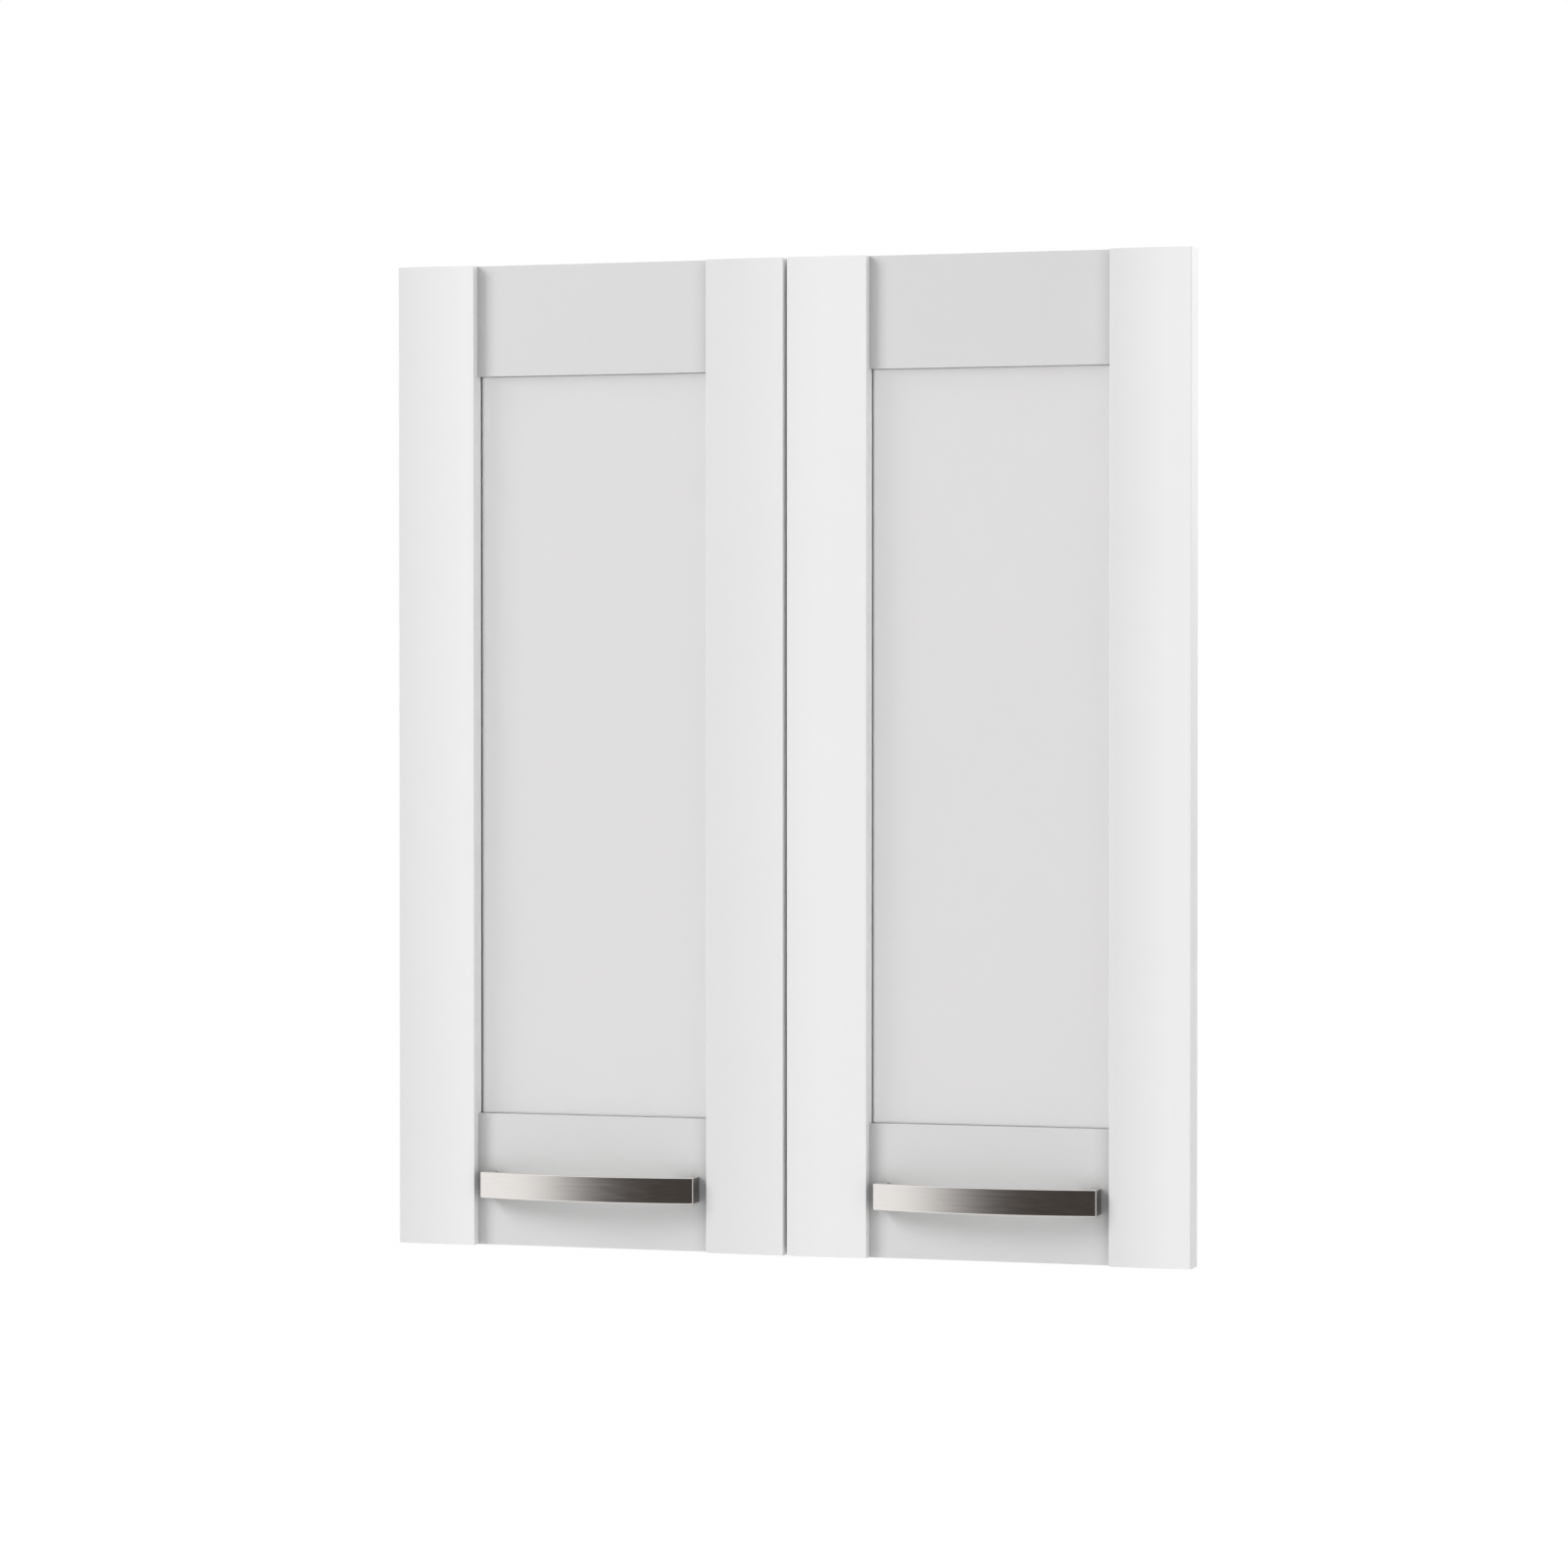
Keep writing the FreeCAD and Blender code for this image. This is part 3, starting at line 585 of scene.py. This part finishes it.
# %% [markdown]
# Both handles come from that tree. Length, height and place are measured on the CAD solid. The
# inner arc runs one bar's thickness inside the outer one, so its ends are worked out from the
# two radii. A bevel then takes the sharpness off every edge, as polishing does.

# %% Handles
HANDLE_BOW = 9.5 * MM
HANDLE_BAR = 4.5 * MM
HANDLE_LEG = 8.0 * MM
HANDLE_EDGE = 0.8 * MM


def handle_values(side):
    """The tree's sizes for one handle, from its CAD solid and the rail behind it."""
    low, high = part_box(side + "_bow_handle")
    rail_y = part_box(side + "_bottom_rail")[0].y
    half = (high.x - low.x) / 2
    clear = half - HANDLE_LEG
    front = rail_y - low.y
    radius = (half ** 2 + HANDLE_BOW ** 2) / (2 * HANDLE_BOW)
    inner_radius = radius - HANDLE_BAR
    inner_fall = inner_radius - math.sqrt(inner_radius ** 2 - clear ** 2)
    return {
        "Half Length": half, "Half Clear": clear, "Standoff": front - HANDLE_BOW, "Front": front,
        "Inner Standoff": front - HANDLE_BAR - inner_fall, "Inner Front": front - HANDLE_BAR,
        "Height": high.z - low.z, "Foot": ((low.x + high.x) / 2, rail_y, low.z),
        "Steps": BOW_STEPS, "Finish": FINISH["handle_steel"]}


for side in ("left", "right"):
    handle = made_by(BOW_HANDLE, side + "_handle", [], handle_values(side))
    round_edges(handle, HANDLE_EDGE, segments=4, past_degrees=35)
    settle(handle, side + "_door", side + "_bow_handle")
print("handles", round(1000 * 2 * handle_values("left")["Half Length"], 1), "mm long")

# %% [markdown]
# Every screw here has a domed head with a cross recess. One tree makes the screw, cuts the cross
# out of its head with a boolean, and puts one copy on each point that it is given, turned to
# face out of the surface. The four kinds of screw differ only in their sizes. The dome's fall
# grows with the fourth power of the distance from the middle, so it is flat there and round at
# the rim.

# %% Geometry Nodes: cross-head screws
def screw_tree():
    """A domed head on a shank, with a cross cut in it, copied to every point."""
    tree, start, end = open_group(
        "cross_head_screws",
        [("Points", "NodeSocketGeometry", None), ("Facing", "NodeSocketVector", (0, 0, 1)),
         ("Head Radius", "NodeSocketFloat", 4 * MM), ("Head Height", "NodeSocketFloat", 2 * MM),
         ("Dome", "NodeSocketFloat", 0.35), ("Shank Radius", "NodeSocketFloat", 2 * MM),
         ("Shank Length", "NodeSocketFloat", 20 * MM), ("Recess Span", "NodeSocketFloat", 4 * MM),
         ("Recess Width", "NodeSocketFloat", 0.8 * MM), ("Finish", "NodeSocketMaterial", None)],
        [("Geometry", "NodeSocketGeometry")], "GeometryNodeTree")

    def math_of(operation, a, b):
        """One step of arithmetic on sockets or plain numbers."""
        node = add(tree, "ShaderNodeMath", operation=operation)
        for index, value in enumerate((a, b)):
            if isinstance(value, (int, float)):
                node.inputs[index].default_value = value
            else:
                wire(tree, (value, node.inputs[index]))
        return node.outputs[0]

    def moved_up(geometry, rise):
        """Geometry moved along the screw's axis."""
        spot = add(tree, "ShaderNodeCombineXYZ")
        node = add(tree, "GeometryNodeTransform")
        wire(tree, (rise, spot.inputs["Z"]), (geometry, node.inputs["Geometry"]),
             (spot.outputs[0], node.inputs["Translation"]))
        return node.outputs[0]

    height, length = start.outputs["Head Height"], start.outputs["Shank Length"]
    head = add(tree, "GeometryNodeMeshCylinder", {"Vertices": 32, "Fill Segments": 6})
    shank = add(tree, "GeometryNodeMeshCylinder", {"Vertices": 24})
    half_height = math_of("MULTIPLY", height, 0.5)
    wire(tree,
         (start.outputs["Head Radius"], head.inputs["Radius"]), (height, head.inputs["Depth"]),
         (start.outputs["Shank Radius"], shank.inputs["Radius"]),
         (math_of("ADD", length, half_height), shank.inputs["Depth"]))
    raised = moved_up(head.outputs["Mesh"], half_height)
    shank_rise = math_of("MULTIPLY", math_of("SUBTRACT", half_height, length), 0.5)
    lowered = moved_up(shank.outputs["Mesh"], shank_rise)

    place = add(tree, "GeometryNodeInputPosition")
    axes = add(tree, "ShaderNodeSeparateXYZ")
    flat = add(tree, "ShaderNodeCombineXYZ")
    radius = add(tree, "ShaderNodeVectorMath", operation="LENGTH")
    fall = add(tree, "ShaderNodeCombineXYZ")
    domed = add(tree, "GeometryNodeSetPosition")
    wire(tree, (place.outputs[0], axes.inputs[0]), (axes.outputs["X"], flat.inputs["X"]),
         (axes.outputs["Y"], flat.inputs["Y"]), (flat.outputs[0], radius.inputs[0]))
    out_share = math_of("DIVIDE", radius.outputs["Value"], start.outputs["Head Radius"])
    rim = math_of("POWER", out_share, 4.0)
    drop = math_of("MULTIPLY", math_of("MULTIPLY", rim, start.outputs["Dome"]), axes.outputs["Z"])
    wire(tree,
         (math_of("MULTIPLY", drop, -1.0), fall.inputs["Z"]), (raised, domed.inputs["Geometry"]),
         (fall.outputs[0], domed.inputs["Offset"]))

    whole = add(tree, "GeometryNodeMeshBoolean", operation="UNION")
    wire(tree, (domed.outputs[0], whole.inputs["Mesh 2"]), (lowered, whole.inputs["Mesh 2"]))
    slotted = add(tree, "GeometryNodeMeshBoolean", operation="DIFFERENCE")
    wire(tree, (whole.outputs["Mesh"], slotted.inputs["Mesh 1"]))
    for long_axis, short_axis in (("X", "Y"), ("Y", "X")):
        size = add(tree, "ShaderNodeCombineXYZ")
        bar = add(tree, "GeometryNodeMeshCube")
        wire(tree, (start.outputs["Recess Span"], size.inputs[long_axis]),
             (start.outputs["Recess Width"], size.inputs[short_axis]), (height, size.inputs["Z"]),
             (size.outputs[0], bar.inputs["Size"]),
             (moved_up(bar.outputs["Mesh"], height), slotted.inputs["Mesh 2"]))

    turned = add(tree, "FunctionNodeAlignRotationToVector", axis="Z")
    copies = add(tree, "GeometryNodeInstanceOnPoints")
    real = add(tree, "GeometryNodeRealizeInstances")
    finished = add(tree, "GeometryNodeSetMaterial")
    wire(tree,
         (start.outputs["Facing"], turned.inputs["Vector"]),
         (turned.outputs[0], copies.inputs["Rotation"]),
         (start.outputs["Points"], copies.inputs["Points"]),
         (slotted.outputs["Mesh"], copies.inputs["Instance"]),
         (copies.outputs[0], real.inputs[0]), (real.outputs[0], finished.inputs["Geometry"]),
         (start.outputs["Finish"], finished.inputs["Material"]),
         (finished.outputs[0], end.inputs[0]))
    return tree


SCREWS = screw_tree()
print("tree", SCREWS.name, len(SCREWS.nodes), "nodes")

# %% [markdown]
# Each kind is placed from its CAD solid and the height of the hinges. On each door the handle's two
# screws and the cups' four face backwards. The adjusting screws face inwards, out of the arms.

# %% Screws
HINGE_LEVELS = (-258 * MM, 258 * MM)
CUP_SCREW_HALF_PITCH = 24 * MM
ADJUSTING_SCREW_R = 2.46 * MM
ADJUSTING_SHANK_R = 0.97 * ADJUSTING_SCREW_R
ADJUSTING_HEAD = 1.3 * MM
DOMED, NEARLY_FLAT = 0.35, 0.08           # how far the rim falls, as a share of the head's height
RECESS_SPAN, RECESS_WIDTH = 1.15, 0.26    # as shares of the head's radius


def place_screws(side, kind, body, points, facing, head, dome, shank):
    """One piece of several equal screws. Head and shank are each a radius and a length."""
    values = {
        "Facing": facing, "Head Radius": head[0], "Head Height": head[1], "Dome": dome,
        "Shank Radius": shank[0], "Shank Length": shank[1],
        "Recess Span": RECESS_SPAN * head[0], "Recess Width": RECESS_WIDTH * head[0],
        "Finish": FINISH["fastener_steel"]}
    piece = made_by(SCREWS, side + "_" + kind + "_crosshead", points, values)
    settle(piece, body, side + "_" + kind)


def backward_screws(side, kind, head_radius, head_height, shank_radius):
    """Screws whose heads are on the back of a door."""
    low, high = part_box(side + "_" + kind)
    seat = high.y - head_height
    middle = (low + high) / 2
    if kind == "handle_screws":
        points = [(low.x + head_radius, seat, middle.z), (high.x - head_radius, seat, middle.z)]
    else:
        points = [(middle.x, seat, level + step) for level in HINGE_LEVELS
                  for step in (-CUP_SCREW_HALF_PITCH, CUP_SCREW_HALF_PITCH)]
    place_screws(side, kind, side + "_door", points, (0, 1, 0), (head_radius, head_height),
                 DOMED, (shank_radius, seat - low.y))


def inward_screws(side, kind):
    """Adjusting screws, flush with the hinge arms' inner faces."""
    low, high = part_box(side + "_" + kind)
    inward = 1 if side == "left" else -1
    seat = (high.x if side == "left" else low.x) - inward * ADJUSTING_HEAD
    points = [(seat, (low.y + high.y) / 2, level) for level in HINGE_LEVELS]
    place_screws(side, kind, "cabinet_side", points, (inward, 0, 0),
                 (ADJUSTING_SCREW_R, ADJUSTING_HEAD), NEARLY_FLAT,
                 (ADJUSTING_SHANK_R, high.x - low.x - ADJUSTING_HEAD))


for side in ("left", "right"):
    backward_screws(side, "handle_screws", 4.0 * MM, 2.4 * MM, 2.0 * MM)
    backward_screws(side, "cup_screws", 3.4 * MM, 1.6 * MM, 1.75 * MM)
    inward_screws(side, "side_adjusting_screws")
    inward_screws(side, "depth_adjusting_screws")
print("screws at hinge levels", HINGE_LEVELS)

# %% [markdown]
# A pressed steel hinge has no truly sharp edge. The CAD solids of the cups, arms, plates and caps
# keep their shape, and three modifiers soften them: Weld joins the loose triangles, Decimate
# clears the lines across flat faces, and Bevel rounds what is left.

# %% Softer edges on the hinges
PRESSED_EDGES = {
    "hinge_cup": 0.3 * MM, "hinge_arm": 0.25 * MM, "mounting_plate": 0.35 * MM, "arm_cap": 0.2 * MM}
WELD_WITHIN = 0.002 * MM
FLAT_DEGREES = 0.5


def soften(node_object, width):
    """Weld, flatten and bevel a pressed piece, leaving its CAD mesh as it is."""
    weld = node_object.modifiers.new("weld", "WELD")
    weld.merge_threshold = WELD_WITHIN
    flatten = node_object.modifiers.new("flatten", "DECIMATE")
    flatten.decimate_type = "DISSOLVE"
    flatten.angle_limit = math.radians(FLAT_DEGREES)
    round_edges(node_object, width, segments=2, past_degrees=50)


pressed = [(node_object, width) for node_name, node_object in frame["nodes"].items()
           for ending, width in PRESSED_EDGES.items() if node_name.endswith(ending)]
for node_object, width in pressed:
    soften(node_object, width)
print("softened", len(pressed), "hinge pieces")

# %% [markdown]
# The light is a white room. It lights the doors evenly from all round, and a broad softbox far to
# the left draws the step between stile and rail. Metal needs something dark to reflect or it
# looks like paper, so the room that the metal sees has a dark side in front and a dark corner
# behind.

# %% Room
ROOM_LIGHT = 0.505
DARK_SIDES = ((16.0, 38.5, 14.5), (162.0, 19.0, 7.0))    # azimuth, reach and softness in degrees
DARK_SIDE_ELEVATION = -4
DARK_SIDE_COLOUR = (0.056, 0.048, 0.043, 1)
WHITE = (1, 1, 1, 1)
MIX_FIRST, MIX_SECOND, MIX_RESULT = 6, 7, 2    # a Mix node's sockets for colour


def from_azimuth(azimuth, elevation):
    """Direction from the doors towards a place in the room. Azimuth 0 is in front of them."""
    turn, rise = math.radians(azimuth), math.radians(elevation)
    return Vector(
        (math.sin(turn) * math.cos(rise), -math.cos(turn) * math.cos(rise), math.sin(rise)))


def room_world():
    """White to the camera, soft white light for the doors, and dark sides for the metal."""
    world = bpy.data.worlds.new("room")
    world.use_nodes = True
    tree = world.node_tree
    tree.nodes.clear()
    ray = add(tree, "ShaderNodeLightPath")
    seen = add(tree, "ShaderNodeMath", operation="MAXIMUM")
    place = add(tree, "ShaderNodeTexCoord")
    darkest = add(tree, "ShaderNodeMath", operation="MAXIMUM")
    shade = add(tree, "ShaderNodeMix", data_type="RGBA")
    lights = add(tree, "ShaderNodeBackground", {"Strength": ROOM_LIGHT})
    shown = add(tree, "ShaderNodeBackground", {"Strength": 1.0})
    reflected = add(tree, "ShaderNodeBackground")
    first = add(tree, "ShaderNodeMixShader")
    second = add(tree, "ShaderNodeMixShader")
    out = add(tree, "ShaderNodeOutputWorld")
    shade.inputs[MIX_FIRST].default_value = WHITE
    shade.inputs[MIX_SECOND].default_value = DARK_SIDE_COLOUR
    for background in (lights, shown):
        background.inputs["Color"].default_value = WHITE
    wire(tree,
         (ray.outputs["Is Camera Ray"], seen.inputs[0]),
         (ray.outputs["Is Transmission Ray"], seen.inputs[1]),
         (darkest.outputs[0], shade.inputs[0]),
         (shade.outputs[MIX_RESULT], reflected.inputs["Color"]),
         (seen.outputs[0], first.inputs[0]),
         (lights.outputs[0], first.inputs[1]), (shown.outputs[0], first.inputs[2]),
         (ray.outputs["Is Glossy Ray"], second.inputs[0]), (first.outputs[0], second.inputs[1]),
         (reflected.outputs[0], second.inputs[2]), (second.outputs[0], out.inputs["Surface"]))
    for index, (azimuth, reach, softness) in enumerate(DARK_SIDES):
        middle = from_azimuth(azimuth, DARK_SIDE_ELEVATION)
        toward = add(tree, "ShaderNodeVectorMath", {1: middle}, operation="DOT_PRODUCT")
        dark = add(tree, "ShaderNodeMapRange", {
            "From Min": math.cos(math.radians(reach + softness)),
            "From Max": math.cos(math.radians(reach - softness))}, interpolation_type="SMOOTHSTEP")
        wire(tree,
             (place.outputs["Generated"], toward.inputs[0]),
             (toward.outputs["Value"], dark.inputs["Value"]),
             (dark.outputs["Result"], darkest.inputs[index]))
    return world


bpy.context.scene.world = room_world()
bpy.context.scene.view_settings.view_transform = "Standard"
print("room lit at", ROOM_LIGHT)

# %% [markdown]
# A softbox is an area light. Its power is worked out from how bright a white wall facing it
# should look, so that the levels here read as parts of white and stay right if a box moves. A
# white wall at distance d shows power / (pi d)^2.

# %% Softboxes
def softbox(name, azimuth, elevation, distance, width, height, level):
    """An area light aimed at the doors. A white wall facing it would show `level`."""
    data = bpy.data.lights.new(name, "AREA")
    data.shape = "RECTANGLE"
    data.size = width
    data.size_y = height
    data.energy = level * (math.pi * distance) ** 2
    lamp = bpy.data.objects.new(name, data)
    toward = from_azimuth(azimuth, elevation)
    lamp.location = toward * distance
    lamp.rotation_mode = "QUATERNION"
    lamp.rotation_quaternion = toward.to_track_quat("Z", "Y")
    bpy.context.scene.collection.objects.link(lamp)
    print(name, round(data.energy, 1), "W")
    return lamp


key_light = softbox("key_light", azimuth=-52, elevation=28, distance=6.5,
                    width=2.6, height=3.0, level=0.52)
right_light = softbox("right_light", azimuth=48, elevation=6, distance=6.0,
                      width=3.0, height=3.6, level=0.11)
softbox("back_light", azimuth=150, elevation=20, distance=5.0, width=3.0, height=3.0, level=0.35)
for lamp in (key_light, right_light):
    lamp.visible_glossy = False

# %% [markdown]
# The doors hang a metre above a pale floor. The floor throws light up from below. Where the
# camera sees it, it is nearly white, with just enough of its own shading left to take a shadow.

# %% Floor
FLOOR_DROP = 1.0      # metres below the doors
FLOOR_HALF = 9.0      # metres from the middle to a side
FLOOR_SHARE = 0.12    # how much of its own shading the camera sees
FLOOR_GREY = (0.85, 0.85, 0.85, 1)
FLOOR_GLOW = 1.07


def floor_material():
    """Plain and matt for the light, and mostly an even white for the camera."""
    material = bpy.data.materials.new("pale_floor")
    material.use_nodes = True
    tree = material.node_tree
    tree.nodes.clear()
    ray = add(tree, "ShaderNodeLightPath")
    seen = add(tree, "ShaderNodeMath", operation="MAXIMUM")
    share = add(tree, "ShaderNodeMath", {1: 1.0 - FLOOR_SHARE}, operation="MULTIPLY")
    matt = add(tree, "ShaderNodeBsdfDiffuse", {"Color": FLOOR_GREY})
    white = add(tree, "ShaderNodeEmission", {"Color": WHITE, "Strength": FLOOR_GLOW})
    mix = add(tree, "ShaderNodeMixShader")
    out = add(tree, "ShaderNodeOutputMaterial")
    wire(tree,
         (ray.outputs["Is Camera Ray"], seen.inputs[0]),
         (ray.outputs["Is Transmission Ray"], seen.inputs[1]),
         (seen.outputs[0], share.inputs[0]), (share.outputs[0], mix.inputs[0]),
         (matt.outputs[0], mix.inputs[1]), (white.outputs[0], mix.inputs[2]),
         (mix.outputs[0], out.inputs["Surface"]))
    return material


def pale_floor():
    """A broad sheet below the doors."""
    level = CAD_BOX[0].z - FLOOR_DROP
    corners = [(x * FLOOR_HALF, y * FLOOR_HALF, level)
               for x, y in ((-1, -1), (1, -1), (1, 1), (-1, 1))]
    mesh = bpy.data.meshes.new("floor")
    mesh.from_pydata(corners, [], [(0, 1, 2, 3)])
    mesh.materials.append(floor_material())
    floor = bpy.data.objects.new("floor", mesh)
    bpy.context.scene.collection.objects.link(floor)
    floor.visible_glossy = False
    print("floor at", round(level, 3), "m")


pale_floor()
